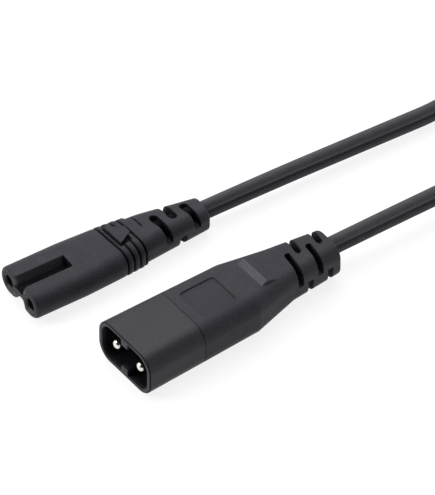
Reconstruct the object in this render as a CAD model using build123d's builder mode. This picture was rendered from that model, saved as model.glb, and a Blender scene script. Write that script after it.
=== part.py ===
"""Short two-pole appliance lead: a figure-eight connector and its shrouded plug on one flat twin cord.

The plug's axis runs along +X and the connector lies beside it on the far side (+Y), both on the
table at z = 0. Mating faces look towards -X and the cord leaves both ends towards +X. Distances
called "along" are measured back from the mating face of the end that they belong to.
"""

import os
from math import radians, tan

from build123d import *

os.makedirs("parts", exist_ok=True)

# Interface shared by both ends
pole_spacing = 8.6
pin_diameter = 2.4
pole_seam_turn = 30

# Flat twin cord, standing on its narrow edge
cord_lobe_diameter = 2.5
cord_lobe_spacing = 2.7
cord_web_thickness = 1.1
core_diameter = 2.0
core_straight = 2.5
conductor_diameter = 1.0
cord_clear_run = 14.8
cord_loop_ahead = 59.0

# Plug shroud
shroud_length = 15.3
shroud_width = 18.7
shroud_back_width = 17.9
shroud_height = 11.1
shroud_corner = 4.0
shroud_wall = 1.15
shroud_floor = 2.4
shroud_rim_round = 0.35
key_width = 2.2
key_height = 1.6

# Plug pins
pin_setback = 0.6
pin_tip_round = 0.9
pin_root_diameter = 2.8
pin_flange_diameter = 3.6
pin_flange_thickness = 1.0
crimp_diameter = 2.0
crimp_length = 5.2
conductor_stop = 0.8

# Plug body behind the shroud
plug_body_length = 15.2
plug_shoulder_width = 17.0
plug_shoulder_height = 10.9
plug_shoulder_corner = 3.8
plug_taper_length = 11.5
plug_neck_width = 12.2
plug_neck_height = 8.9
plug_neck_corner = 3.0
plug_neck_across = 0.25
plug_neck_up = 0.15
seam_chamfer = 0.25
panel_length = 8.1
panel_width = 9.6
panel_depth = 0.3
panel_corner = 0.9
panel_setback = 3.3
stop_bar_width = 8.8
stop_bar_length = 3.6
stop_bar_rise = 0.8
stop_bar_slope = 0.8
stop_bar_setback = 4.0

# Plug strain relief
plug_relief_length = 13.2
plug_relief_end_width = 9.4
plug_relief_end_height = 8.8
plug_relief_end_corner = 3.0
plug_relief_end_lean = 0.1
plug_relief_end_sag = 0.15
plug_slot_rows = 4
plug_slot_front_margin = 2.1
plug_slot_back_margin = 1.95
plug_slot_width = 1.3

# Connector nose
lobe_diameter = 6.65
lobe_side_flat = 0.15
nose_groove_width = 3.0
nose_groove_depth = 2.1
nose_groove_end_wall = 0.9
nose_groove_lip_round = 0.5
nose_rim_round = 0.8

# Connector contacts and their carrier
carrier_tube_diameter = 4.4
carrier_overhang = 3.5
carrier_bridge_length = 3.0
carrier_bridge_height = 2.4
entry_diameter = 3.0
entry_chamfer = 0.4
sleeve_setback = 2.0
sleeve_length = 11.0
sleeve_bottom = 0.6
sleeve_wall = 0.4
sleeve_play = 0.03
sleeve_slit_width = 0.4
sleeve_slit_length = 6.0

# Connector grip and body behind the nose
waist_length = 8.9
waist_width = 14.0
waist_height = 7.2
waist_corner = 3.4
grip_length = 7.2
grip_end_width = 12.1
grip_end_height = 7.9
grip_end_corner = 3.3
grip_grooves = 4
grip_groove_front_margin = 0.8
grip_groove_back_margin = 0.9
grip_groove_width = 0.55
grip_groove_depth = 0.45
grip_pad_length = 3.5
grip_pad_front_width = 6.4
grip_pad_back_width = 3.6
grip_pad_rise = 0.5
grip_pad_setback = 1.9
shoulder_step = 0.4
tail_length = 3.4
tail_width = 10.5
tail_height = 7.5
tail_corner = 3.0
mark_line_setback = 1.6
mark_line_length = 4.4
mark_line_width = 0.35
mark_line_depth = 0.25

# Connector strain relief
connector_relief_length = 14.0
connector_relief_end_width = 7.0
connector_relief_end_height = 6.6
connector_relief_end_corner = 2.6
connector_relief_end_lean = 0.35
connector_relief_end_sag = 0.35
connector_slot_rows = 3
connector_slot_front_margin = 2.6
connector_slot_back_margin = 3.6
connector_slot_width = 1.9

# Strain relief slots of both ends
slot_past_middle = 0.6
relief_core_wall = 0.35

# How the cord lies in the plug's strain relief
plug_cord_across = 1.0
plug_cord_up = 0.25
plug_cord_turn = 1.8

# Where the two ends lie
connector_ahead = 5.5
connector_beside = 30.95
connector_turn = 4.0

# Frame of each end: origin on the mating face, x across, y up, z back along the axis
plug_axis_height = max(
    shroud_height, plug_shoulder_height, plug_relief_end_height + 2 * plug_relief_end_sag
) / 2
plug_axis = Plane(origin=(-shroud_length / 2, 0, plug_axis_height), x_dir=(0, 1, 0), z_dir=(1, 0, 0))
connector_axis_height = max(
    lobe_diameter, waist_height, grip_end_height, tail_height,
    connector_relief_end_height + 2 * connector_relief_end_sag,
) / 2
connector_axis = Plane(
    origin=(-shroud_length / 2 - connector_ahead, connector_beside, connector_axis_height),
    x_dir=Vector(0, 1, 0).rotate(Axis.Z, -connector_turn),
    z_dir=Vector(1, 0, 0).rotate(Axis.Z, -connector_turn),
)

# The two poles of either end, turned so that the seam of a round wall lies off the mirror planes
pole_places = [
    Location((side * pole_spacing / 2, 0, 0), (0, 0, pole_seam_turn))
    for side in (-1, 1)
]

# Stations along each axis
cord_height = cord_lobe_spacing + cord_lobe_diameter
plug_shoulder_along = shroud_length + plug_body_length
plug_neck_along = plug_shoulder_along + plug_taper_length
plug_end_along = plug_neck_along + plug_relief_length
pin_back_along = shroud_length + pin_flange_thickness
plug_crimp_end = pin_back_along + crimp_length
sleeve_bore = pin_diameter + 2 * sleeve_play
sleeve_outer = sleeve_bore + 2 * sleeve_wall
sleeve_back_along = sleeve_setback + sleeve_length
connector_crimp_end = sleeve_back_along + crimp_length
carrier_length = sleeve_back_along + carrier_overhang
carrier_bridge_along = carrier_length - carrier_bridge_length
nose_groove_length = carrier_bridge_along - nose_groove_end_wall
waist_along = carrier_bridge_along + waist_length
grip_end_along = waist_along + grip_length
tail_end_along = grip_end_along + tail_length
connector_end_along = tail_end_along + connector_relief_length
crimp_grip = crimp_length - conductor_stop


def point_on(axis: Plane, across: float, up: float, along: float) -> Vector:
    """World point given in the frame of one end."""
    return axis.from_local_coords(Vector(across, up, along))


def turned_axis(axis: Plane, across: float, up: float, along: float, turn: float) -> Plane:
    """Frame moved across, up and along from the one given and turned in plan towards the near side."""
    return Plane(
        origin=point_on(axis, across, up, along),
        x_dir=axis.x_dir.rotate(Axis.Z, -turn),
        z_dir=axis.z_dir.rotate(Axis.Z, -turn),
    )


def level_plane(axis: Plane, up: float, along: float) -> Plane:
    """Level plane of one end: x runs back along the axis, y towards the far side."""
    return Plane(origin=point_on(axis, 0, up, along), x_dir=axis.z_dir, z_dir=(0, 0, 1))


def side_plane(axis: Plane, along: float) -> Plane:
    """Upright plane through the axis: x runs back along the axis, y up."""
    return Plane(origin=point_on(axis, 0, 0, along), x_dir=axis.z_dir, z_dir=-axis.x_dir)


def eased(corner: float, width: float, height: float) -> float:
    """Corner radius kept under half of the shorter side."""
    return min(corner, 0.49 * min(width, height))


def section(axis: Plane, along: float, width: float, height: float, corner: float,
            across: float = 0, up: float = 0) -> Sketch:
    """Rounded rectangle square to the axis, its middle moved across and up from it."""
    with BuildSketch(axis.offset(along)) as outline:
        with Locations((across, up)):
            RectangleRounded(width, height, eased(corner, width, height))
    return outline.sketch


def between(low: float, high: float, share: float) -> float:
    """Value at a share of the way from low to high."""
    return low + (high - low) * share


def cord_outline(axis: Plane) -> Sketch:
    """Figure-eight section of the twin cord, its two lobes one above the other."""
    with BuildSketch(axis) as outline:
        with GridLocations(0, cord_lobe_spacing, 1, 2):
            Circle(cord_lobe_diameter / 2)
        Rectangle(cord_web_thickness, cord_lobe_spacing)
    return outline.sketch


def relief_slots(axis: Plane, rows: int, front_margin: float, back_margin: float, width: float,
                 reach: float, length: float) -> Part:
    """Staggered quarter slots of a strain relief that starts on the plane given.

    Each row opens one upper and the opposite lower quarter. A core round the cord stays whole, and
    every slot ends in a half round just past the middle.
    """
    pitch = (length - front_margin - back_margin) / (rows - 1)
    with BuildPart() as slots:
        for row in range(rows):
            row_side = 1 if row % 2 else -1
            for level in (1, -1):
                side = row_side * level
                with BuildSketch(level_plane(axis, 0, front_margin + row * pitch)) as fin:
                    with Locations((0, side * (reach - slot_past_middle) / 2)):
                        Rectangle(width, reach + slot_past_middle)
                    with Locations((0, -side * slot_past_middle)):
                        Circle(width / 2)
                extrude(fin.sketch, amount=level * reach)
        with BuildSketch(axis) as core:
            RectangleRounded(
                cord_lobe_diameter + 2 * relief_core_wall,
                cord_height + 2 * relief_core_wall,
                cord_lobe_diameter / 2,
            )
        extrude(core.sketch, amount=length, mode=Mode.SUBTRACT)
    return slots.part


def on_groove_lip(place: Vector) -> bool:
    """Whether a place in the connector's frame lies on a long edge between a nose groove and a lobe."""
    beside = abs(abs(place.X) - nose_groove_width / 2)
    below = abs(abs(place.Y) - lobe_diameter / 2)
    return max(beside, below) < 1e-6


def core_route(axis: Plane, cord_axis: Plane, side: int, crimp_end: float) -> list:
    """Points of one core, from its crimp to its lobe of the cord."""
    across = side * pole_spacing / 2
    up = side * cord_lobe_spacing / 2
    return [
        point_on(axis, across, 0, crimp_end),
        point_on(axis, across, 0, crimp_end + core_straight),
        point_on(cord_axis, 0, up, -core_straight),
        point_on(cord_axis, 0, up, 0),
    ]


def corner_radii(points: list) -> list:
    """Largest tangent radius at each inner point: 0.45 of the shorter run over tan(half the turn)."""
    radii = []
    for before, here, after in zip(points, points[1:], points[2:]):
        run_in = here - before
        run_out = after - here
        half_turn = radians(run_in.get_angle(run_out)) / 2
        radii.append(0.45 * min(run_in.length, run_out.length) / tan(half_turn))
    return radii


def round_rod(axis: Plane, points: list, head: float, diameter: float) -> Part:
    """Round rod along a core's route, with a straight head reaching forward of its first point."""
    with BuildPart() as rod:
        with BuildLine() as line:
            FilletPolyline(*points, radius=corner_radii(points))
        with BuildSketch(Plane(origin=points[0], x_dir=axis.x_dir, z_dir=axis.z_dir)) as round_section:
            Circle(diameter / 2)
        sweep(round_section.sketch, path=line.wires()[0])
        if head > 0:
            extrude(round_section.sketch, amount=-head)
    return rod.part


plug_cord_axis = turned_axis(plug_axis, plug_cord_across, plug_cord_up, plug_neck_along, plug_cord_turn)
connector_cord_axis = connector_axis.offset(tail_end_along)

# Shroud round the pins: a drafted shell with a keyed recess and a floor that holds the pins
with BuildPart() as pin_shroud:
    with BuildSketch(level_plane(plug_axis, -shroud_height / 2, 0)):
        with BuildLine():
            Polyline(
                (0, -shroud_width / 2),
                (shroud_length, -shroud_back_width / 2),
                (shroud_length, shroud_back_width / 2),
                (0, shroud_width / 2),
                close=True,
            )
        make_face()
    extrude(amount=shroud_height)
    long_edges = pin_shroud.edges().group_by(Axis.X)[1]
    fillet(long_edges, radius=eased(shroud_corner, shroud_back_width, shroud_height))
    recess_width = min(shroud_width, shroud_back_width) - 2 * shroud_wall
    recess_height = shroud_height - 2 * shroud_wall
    recess_corner = eased(shroud_corner - shroud_wall, recess_width, recess_height)
    with BuildSketch(plug_axis):
        RectangleRounded(recess_width, recess_height, recess_corner)
        with GridLocations(0, recess_height - key_height, 1, 2):
            Rectangle(key_width, key_height, mode=Mode.SUBTRACT)
    extrude(amount=shroud_length - shroud_floor, mode=Mode.SUBTRACT)
    with BuildSketch(plug_axis.offset(shroud_length)):
        with Locations(*pole_places):
            Circle(pin_root_diameter / 2)
    extrude(amount=-shroud_floor, mode=Mode.SUBTRACT)
    rim = pin_shroud.faces().sort_by(Axis.X)[0].outer_wire().edges()
    fillet(rim, radius=shroud_rim_round)
    back_edges = pin_shroud.faces().sort_by(Axis.X)[-1].outer_wire().edges()
    chamfer(back_edges, length=seam_chamfer)

pin_shroud.part.label = "pin_shroud"
export_step(pin_shroud.part, "parts/pin_shroud.step")


def plug_pin(side: int) -> Part:
    """Pin with a domed tip, a root set in the shroud floor, a flange behind it and a crimp barrel."""
    across = side * pole_spacing / 2
    pin_plane = Plane(origin=point_on(plug_axis, across, 0, 0), x_dir=plug_axis.x_dir, z_dir=plug_axis.z_dir)
    with BuildPart() as pin:
        with BuildSketch(pin_plane.offset(pin_setback)):
            Circle(pin_diameter / 2)
        extrude(amount=shroud_length - shroud_floor - pin_setback)
        tip_edge = pin.edges().filter_by(GeomType.CIRCLE).sort_by(Axis.X)[0]
        fillet(tip_edge, radius=pin_tip_round)
        with BuildSketch(pin_plane.offset(shroud_length - shroud_floor)):
            Circle(pin_root_diameter / 2)
        extrude(amount=shroud_floor)
        with BuildSketch(pin_plane.offset(shroud_length)):
            Circle(pin_flange_diameter / 2)
        extrude(amount=pin_flange_thickness)
        with BuildSketch(pin_plane.offset(pin_back_along)):
            Circle(crimp_diameter / 2)
        extrude(amount=crimp_length)
        with BuildSketch(pin_plane.offset(pin_back_along + conductor_stop)):
            Circle(conductor_diameter / 2)
        extrude(amount=crimp_length - conductor_stop, mode=Mode.SUBTRACT)
    return pin.part


def contact_sleeve(side: int) -> Part:
    """Slit socket sleeve with a closed back and a crimp barrel."""
    across = side * pole_spacing / 2
    contact_plane = Plane(
        origin=point_on(connector_axis, across, 0, 0), x_dir=connector_axis.x_dir, z_dir=connector_axis.z_dir
    )
    with BuildPart() as sleeve:
        with BuildSketch(contact_plane.offset(sleeve_setback)):
            Circle(sleeve_outer / 2)
        extrude(amount=sleeve_length)
        with BuildSketch(contact_plane.offset(sleeve_back_along)):
            Circle(crimp_diameter / 2)
        extrude(amount=crimp_length)
        with BuildSketch(contact_plane.offset(sleeve_setback)):
            Circle(sleeve_bore / 2)
        extrude(amount=sleeve_length - sleeve_bottom, mode=Mode.SUBTRACT)
        with BuildSketch(contact_plane.offset(sleeve_setback)):
            Rectangle(sleeve_slit_width, sleeve_outer)
        extrude(amount=sleeve_slit_length, mode=Mode.SUBTRACT)
        with BuildSketch(contact_plane.offset(sleeve_back_along + conductor_stop)):
            Circle(conductor_diameter / 2)
        extrude(amount=crimp_length - conductor_stop, mode=Mode.SUBTRACT)
    return sleeve.part


# Pins, contacts, cores and conductors, one of each to a pole
plug_cores = []
connector_cores = []
for name, side in {"far": 1, "near": -1}.items():
    plug_route = core_route(plug_axis, plug_cord_axis, side, plug_crimp_end)
    connector_route = core_route(connector_axis, connector_cord_axis, side, connector_crimp_end)

    pin = plug_pin(side)
    pin.label = f"pin_{name}"
    export_step(pin, f"parts/pin_{name}.step")

    sleeve = contact_sleeve(side)
    sleeve.label = f"contact_sleeve_{name}"
    export_step(sleeve, f"parts/contact_sleeve_{name}.step")

    for end, axis, route, core_rods in (
        ("plug", plug_axis, plug_route, plug_cores),
        ("connector", connector_axis, connector_route, connector_cores),
    ):
        core_rod = round_rod(axis, route, 0, core_diameter)
        core_rods.append(core_rod)
        conductor = round_rod(axis, route, crimp_grip, conductor_diameter)
        conductor.label = f"{end}_conductor_{name}"
        export_step(conductor, f"parts/{end}_conductor_{name}.step")
        with BuildPart() as core:
            add(core_rod)
            add(conductor, mode=Mode.SUBTRACT)
        core.part.label = f"{end}_core_{name}"
        export_step(core.part, f"parts/{end}_core_{name}.step")

# Plug body: moulded over the pin tails, the cores and the end of the cord
with BuildPart() as plug_body:
    loft([
        section(plug_axis, shroud_length, shroud_back_width, shroud_height, shroud_corner),
        section(
            plug_axis, plug_shoulder_along, plug_shoulder_width, plug_shoulder_height, plug_shoulder_corner
        ),
        section(
            plug_axis, plug_neck_along, plug_neck_width, plug_neck_height, plug_neck_corner,
            across=plug_neck_across, up=plug_neck_up,
        ),
        section(
            plug_axis, plug_end_along, plug_relief_end_width, plug_relief_end_height, plug_relief_end_corner,
            across=-plug_relief_end_lean, up=-plug_relief_end_sag,
        ),
    ], ruled=True)
    front_edges = plug_body.faces().sort_by(Axis.X)[0].outer_wire().edges()
    chamfer(front_edges, length=seam_chamfer)
    panel_middle = panel_setback + panel_length / 2
    panel_top = between(shroud_height, plug_shoulder_height, panel_middle / plug_body_length) / 2
    with BuildSketch(level_plane(plug_axis, panel_top - panel_depth, shroud_length + panel_middle)):
        RectangleRounded(panel_length, panel_width, panel_corner)
    extrude(amount=shroud_height, mode=Mode.SUBTRACT)
    stop_bar_along = plug_shoulder_along + stop_bar_setback
    stop_bar_share = stop_bar_setback / plug_taper_length
    stop_bar_foot = between(plug_shoulder_height / 2, plug_neck_height / 2 + plug_neck_up, stop_bar_share)
    with BuildSketch(side_plane(plug_axis, stop_bar_along)):
        with BuildLine():
            Polyline(
                (0, stop_bar_foot - stop_bar_rise),
                (0, stop_bar_foot),
                (stop_bar_slope, stop_bar_foot + stop_bar_rise),
                (stop_bar_length, stop_bar_foot - stop_bar_rise),
                close=True,
            )
        make_face()
    extrude(amount=stop_bar_width / 2, both=True)
    add(
        relief_slots(
            plug_cord_axis, plug_slot_rows, plug_slot_front_margin, plug_slot_back_margin,
            plug_slot_width, plug_neck_width, plug_relief_length,
        ),
        mode=Mode.SUBTRACT,
    )
    with BuildSketch(plug_axis.offset(shroud_length)):
        with Locations(*pole_places):
            Circle(pin_flange_diameter / 2)
    extrude(amount=pin_flange_thickness, mode=Mode.SUBTRACT)
    with BuildSketch(plug_axis.offset(pin_back_along)):
        with Locations(*pole_places):
            Circle(crimp_diameter / 2)
    extrude(amount=crimp_length, mode=Mode.SUBTRACT)
    for core_rod in plug_cores:
        add(core_rod, mode=Mode.SUBTRACT)
    extrude(cord_outline(plug_cord_axis), amount=plug_relief_length + cord_height, mode=Mode.SUBTRACT)

plug_body.part.label = "plug_body"
export_step(plug_body.part, "parts/plug_body.step")

# Carrier of the two contacts: a tube to each pole, joined by a bridge behind the nose
with BuildPart() as contact_carrier:
    with BuildSketch(connector_axis):
        with Locations(*pole_places):
            Circle(carrier_tube_diameter / 2)
    extrude(amount=carrier_length)
    with BuildSketch(connector_axis.offset(carrier_bridge_along)):
        Rectangle(pole_spacing, carrier_bridge_height)
    extrude(amount=carrier_bridge_length)
    with BuildSketch(connector_axis):
        with Locations(*pole_places):
            Circle(entry_diameter / 2)
    extrude(amount=sleeve_setback, mode=Mode.SUBTRACT)
    with BuildSketch(connector_axis.offset(sleeve_setback)):
        with Locations(*pole_places):
            Circle(sleeve_outer / 2)
    extrude(amount=sleeve_length, mode=Mode.SUBTRACT)
    with BuildSketch(connector_axis.offset(sleeve_back_along)):
        with Locations(*pole_places):
            Circle(crimp_diameter / 2)
    extrude(amount=carrier_overhang, mode=Mode.SUBTRACT)
    entry_edges = [
        edge for edge in contact_carrier.edges().filter_by(GeomType.CIRCLE)
        if abs(edge.radius - entry_diameter / 2) < 1e-6 and connector_axis.contains(edge.arc_center)
    ]
    chamfer(entry_edges, length=entry_chamfer)

contact_carrier.part.label = "contact_carrier"
export_step(contact_carrier.part, "parts/contact_carrier.step")

# Connector body: figure-eight nose, ribbed grip, tail and strain relief in one moulding
with BuildPart() as connector_body:
    nose_width = pole_spacing + lobe_diameter
    nose_corner = (lobe_diameter - lobe_side_flat) / 2
    loft([
        section(connector_axis, 0, nose_width, lobe_diameter, nose_corner),
        section(connector_axis, carrier_bridge_along, nose_width, lobe_diameter, nose_corner),
        section(connector_axis, waist_along, waist_width, waist_height, waist_corner),
        section(connector_axis, grip_end_along, grip_end_width, grip_end_height, grip_end_corner),
    ], ruled=True)
    with BuildSketch(connector_axis):
        with GridLocations(0, lobe_diameter - nose_groove_depth, 1, 2):
            Rectangle(nose_groove_width, nose_groove_depth)
    extrude(amount=nose_groove_length, mode=Mode.SUBTRACT)
    lip_edges = [
        edge for edge in connector_body.edges()
        if on_groove_lip(connector_axis.to_local_coords(edge.center()))
    ]
    fillet(lip_edges, radius=nose_groove_lip_round)
    nose_face = connector_body.faces().sort_by(Axis(connector_axis.origin, connector_axis.z_dir))[0]
    fillet(nose_face.outer_wire().edges(), radius=nose_rim_round)
    loft([
        section(
            connector_axis, grip_end_along, grip_end_width - 2 * shoulder_step,
            grip_end_height - 2 * shoulder_step, grip_end_corner - shoulder_step,
        ),
        section(connector_axis, tail_end_along, tail_width, tail_height, tail_corner),
        section(
            connector_axis, connector_end_along, connector_relief_end_width,
            connector_relief_end_height, connector_relief_end_corner,
            across=-connector_relief_end_lean, up=-connector_relief_end_sag,
        ),
    ], ruled=True)
    groove_pitch = (grip_length - grip_groove_front_margin - grip_groove_back_margin) / (grip_grooves - 1)
    for groove in range(grip_grooves):
        groove_along = waist_along + grip_groove_front_margin + groove * groove_pitch
        share = (groove_along - waist_along) / grip_length
        groove_width = between(waist_width, grip_end_width, share)
        groove_height = between(waist_height, grip_end_height, share)
        groove_corner = between(waist_corner, grip_end_corner, share)
        floor_width = groove_width - 2 * grip_groove_depth
        floor_height = groove_height - 2 * grip_groove_depth
        floor_corner = eased(groove_corner - grip_groove_depth, floor_width, floor_height)
        with BuildSketch(connector_axis.offset(groove_along - grip_groove_width / 2)):
            Rectangle(2 * groove_width, 2 * groove_height)
            RectangleRounded(floor_width, floor_height, floor_corner, mode=Mode.SUBTRACT)
        extrude(amount=grip_groove_width, mode=Mode.SUBTRACT)
    pad_along = waist_along + grip_pad_setback
    pad_top = between(waist_height, grip_end_height, grip_pad_setback / grip_length) / 2 + grip_pad_rise
    with BuildSketch(level_plane(connector_axis, pad_top, pad_along)):
        with BuildLine():
            Polyline(
                (0, -grip_pad_front_width / 2),
                (grip_pad_length, -grip_pad_back_width / 2),
                (grip_pad_length, grip_pad_back_width / 2),
                (0, grip_pad_front_width / 2),
                close=True,
            )
        make_face()
    extrude(amount=-grip_pad_rise - 2 * grip_groove_depth)
    shoulder_height = grip_end_height - 2 * shoulder_step
    mark_top = between(shoulder_height, tail_height, mark_line_setback / tail_length) / 2
    mark_along = grip_end_along + mark_line_setback
    with BuildSketch(level_plane(connector_axis, mark_top - mark_line_depth, mark_along)):
        with Locations((0, mark_line_length / 2)):
            Rectangle(mark_line_width, mark_line_length)
    extrude(amount=grip_end_height, mode=Mode.SUBTRACT)
    add(
        relief_slots(
            connector_cord_axis, connector_slot_rows, connector_slot_front_margin, connector_slot_back_margin,
            connector_slot_width, tail_width, connector_relief_length,
        ),
        mode=Mode.SUBTRACT,
    )
    with BuildSketch(connector_axis):
        with Locations(*pole_places):
            Circle(carrier_tube_diameter / 2)
    extrude(amount=carrier_length, mode=Mode.SUBTRACT)
    with BuildSketch(connector_axis.offset(carrier_bridge_along)):
        Rectangle(pole_spacing, carrier_bridge_height)
    extrude(amount=carrier_bridge_length, mode=Mode.SUBTRACT)
    with BuildSketch(connector_axis.offset(carrier_length)):
        with Locations(*pole_places):
            Circle(crimp_diameter / 2)
    extrude(amount=connector_crimp_end - carrier_length, mode=Mode.SUBTRACT)
    for core_rod in connector_cores:
        add(core_rod, mode=Mode.SUBTRACT)
    extrude(
        cord_outline(connector_cord_axis), amount=connector_relief_length + cord_height, mode=Mode.SUBTRACT
    )

connector_body.part.label = "connector_body"
export_step(connector_body.part, "parts/connector_body.step")

# Cord: from the connector's strain relief, round one loose loop on the table, to the plug's
plug_end = point_on(plug_axis, 0, 0, plug_end_along)
loop_base = Vector(plug_end.X + cord_loop_ahead, connector_beside / 3, cord_height / 2)
cord_route = [
    point_on(connector_cord_axis, 0, 0, 0),
    point_on(connector_cord_axis, 0, 0, connector_relief_length + cord_clear_run),
    loop_base + Vector(-1.0, 11.5, 0.4),
    loop_base + Vector(23.9, 29.9, 0),
    loop_base + Vector(43.1, 30.9, 0),
    loop_base + Vector(59.5, 19.9, 0),
    loop_base + Vector(65.9, 1.5, 0),
    loop_base + Vector(60.3, -17.3, 0),
    loop_base + Vector(44.7, -29.4, 0),
    loop_base + Vector(25.3, -30.1, 0),
    loop_base + Vector(0.1, -11.8, 2.4),
    point_on(plug_cord_axis, 0, 0, plug_relief_length + cord_clear_run),
    point_on(plug_cord_axis, 0, 0, 0),
]
cord_radii = corner_radii(cord_route)
print("cord bend radii:", [round(radius, 1) for radius in cord_radii])
with BuildPart() as cord:
    with BuildLine() as cord_line:
        FilletPolyline(*cord_route, radius=cord_radii)
    cord_path = cord_line.wires()[0]
    upright_guide = cord_path.translate((0, 0, connector_end_along))
    sweep(cord_outline(connector_cord_axis), path=cord_path, binormal=upright_guide)

cord.part.label = "cord"
export_step(cord.part, "parts/cord.step")
cord_length = cord_path.length
cord_area = cord_outline(connector_cord_axis).area
print(f"cord length {cord_length:.1f} mm, volume over section times length "
      f"{cord.part.volume / (cord_area * cord_length):.4f}")
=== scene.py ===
"""Looks of a short two-pole appliance lead: figure-eight connector, shrouded plug and flat cord.

Sizes are in millimetres in the frame of the end that they belong to: across towards the far side,
up from the axis, and along, back from the mating face. Meshes are in metres in the row frame.
"""

import logging
import math
from collections.abc import Iterable
from dataclasses import dataclass, field, replace
from enum import Enum
from functools import cache

import bmesh
import bpy
import numpy as np
from mathutils import Matrix, Vector


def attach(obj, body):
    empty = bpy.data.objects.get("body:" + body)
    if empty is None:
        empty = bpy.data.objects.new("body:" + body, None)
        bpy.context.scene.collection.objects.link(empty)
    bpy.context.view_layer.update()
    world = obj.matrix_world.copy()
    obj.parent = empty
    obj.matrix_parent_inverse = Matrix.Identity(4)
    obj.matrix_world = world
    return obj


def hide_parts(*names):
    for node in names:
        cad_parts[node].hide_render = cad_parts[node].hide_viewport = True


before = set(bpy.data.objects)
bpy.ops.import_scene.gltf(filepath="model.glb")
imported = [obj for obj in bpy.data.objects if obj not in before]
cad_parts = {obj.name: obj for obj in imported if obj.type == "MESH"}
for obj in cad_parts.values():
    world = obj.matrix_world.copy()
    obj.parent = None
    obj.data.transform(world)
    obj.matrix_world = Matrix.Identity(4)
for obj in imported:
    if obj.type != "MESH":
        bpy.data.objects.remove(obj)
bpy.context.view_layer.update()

log = logging.getLogger("appliance_lead")

Grid = np.ndarray
Amount = np.ndarray | float
Pair = tuple[float, float]
Point = tuple[float, float, float]
Colour = tuple[float, float, float]

MM = 0.001
BODY = "root"
COLUMNS = 288
SHARP_ANGLE = math.radians(38)
# Faces whose mean recess value passes this take the painted-shade copy of their material.
DEEP_FROM = 0.5
TINY = 1e-9
WELD = 0.0005 * MM
ENDS = ("connector", "plug")

# Socket types, a skin group's outputs, and where a Mix node has its share, colours and result.
VECTOR, VALUE, COLOUR = "NodeSocketVector", "NodeSocketFloat", "NodeSocketColor"
SKIN = {"Colour": COLOUR, "Roughness": VALUE, "Height": VALUE}
MIX_INPUTS = (0, 6, 7)
MIX_RESULT = 2

# Detail and scale of each noise, the stretch of it that counts, and what that is carried to.
FINE, MEDIUM, COARSE = 3.0, 2.0, 1.0
BLOTCH_SCALE = 0.06
DRIFT_SCALE = 0.012
STAIN_SCALE = 900.0
LINE_SCALE = (9000.0, 400.0, 400.0)
CORD_GRAIN = (1.0, 0.12, 1.0)
NOISE_RANGE = (0.3, 0.7)
PIT_RANGE = (0.35, 0.7)
STAIN_RANGE = (0.55, 0.8)
BLOTCH_SHARE = (0.4, 1.0)
STAIN_SHARE = (0.0, 0.5)
DRIFT_ROUGHNESS = (-0.04, 0.04)
SCUFF_ROUGHNESS = (-0.03, 0.08)
RECESS_ROUGHNESS = 0.35
POLISH_SMOOTHNESS = 0.17
# Specular of the painted-shade copy of a material, as a share of the normal one.
SHADED_COPY_SPECULAR = 0.3


class Finish(Enum):
    """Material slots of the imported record."""

    BODY = "black_pvc"
    SHROUD = "shroud_plastic"
    CARRIER = "carrier_plastic"
    CORD = "cord_pvc"
    PIN = "pin_nickel"
    CONTACT = "contact_brass"
    CORE_BROWN = "core_brown"
    CORE_BLUE = "core_blue"
    CONDUCTOR = "conductor_copper"


class Side(Enum):
    """The two poles, by the side of the axis that they lie on."""

    FAR = 1
    NEAR = -1


def soft_step(distance: Grid, width: Amount) -> Grid:
    """Smooth rise from 0 to 1 over a width centred on distance 0, by the cubic 3x^2 - 2x^3.

    Args:
        distance: Signed distance, positive inside.
        width: Length over which the rise happens.

    Returns:
        Values from 0 to 1.
    """
    share = np.clip(distance / width + 0.5, 0.0, 1.0)
    return share * share * (3.0 - 2.0 * share)


def blend(low: Amount, high: Amount, share: Amount) -> Amount:
    """Value at a share of the way from low to high."""
    return low + (high - low) * share


def rounded_inset(distance: Grid, radius: float) -> Grid:
    """How far a quarter-round edge stands in from its wall, at a distance behind its face.

    Args:
        distance: Distance behind the face.
        radius: Radius of the quarter circle.

    Returns:
        The radius less the circle's height there, and 0 past the round.
    """
    short = np.clip(radius - distance, 0.0, radius)
    return radius - np.sqrt(radius**2 - short**2)


def rounded_rectangle(
    angle: Grid, half_width: Amount, half_height: Amount, corner: Amount,
) -> Grid:
    """Distance from the middle of a rounded rectangle to its outline in each direction.

    A ray ends on a side, on the top or bottom, or on the corner circle, whichever it meets: for
    the circle it is the larger root of the ray-circle equation.

    Args:
        angle: Direction from the middle, 0 across and a right angle up.
        half_width: Half of the width.
        half_height: Half of the height.
        corner: Corner radius.

    Returns:
        Distances, in the shape that the inputs broadcast to.
    """
    cosine = np.abs(np.cos(angle))
    sine = np.abs(np.sin(angle))
    flat_width = half_width - corner
    flat_height = half_height - corner
    to_side = half_width / np.maximum(cosine, TINY)
    to_top = half_height / np.maximum(sine, TINY)
    middle = cosine * flat_width + sine * flat_height
    past = middle**2 - (flat_width**2 + flat_height**2 - corner**2)
    to_corner = middle + np.sqrt(np.maximum(past, 0.0))
    on_top = np.where(to_top * cosine <= flat_width, to_top, to_corner)
    return np.where(to_side * sine <= flat_height, to_side, on_top)


def spaced(*stops: Pair, end: float) -> Grid:
    """Stations from one stop to the next and on to the end, each stretch at its own step.

    Args:
        stops: Pairs of a station and the largest step after it.
        end: Last station.

    Returns:
        Rising stations, both ends included.
    """
    stretches = [
        np.linspace(start, stop, math.ceil((stop - start) / step) + 1)[:-1]
        for (start, step), (stop, _) in zip(stops, (*stops[1:], (end, 0.0)))
    ]
    return np.concatenate([*stretches, [end]])


def travelled(points: Grid) -> Grid:
    """Length along a line up to each of its points: the running sum of the steps between them."""
    return np.concatenate([[0.0], np.cumsum(np.linalg.norm(np.diff(points, axis=0), axis=1))])


def loop_angles(columns: int = COLUMNS) -> Grid:
    """Angles of the columns of a closed grid, as one row."""
    return (np.arange(columns) + 0.5)[None, :] * (2.0 * math.pi / columns)


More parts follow.
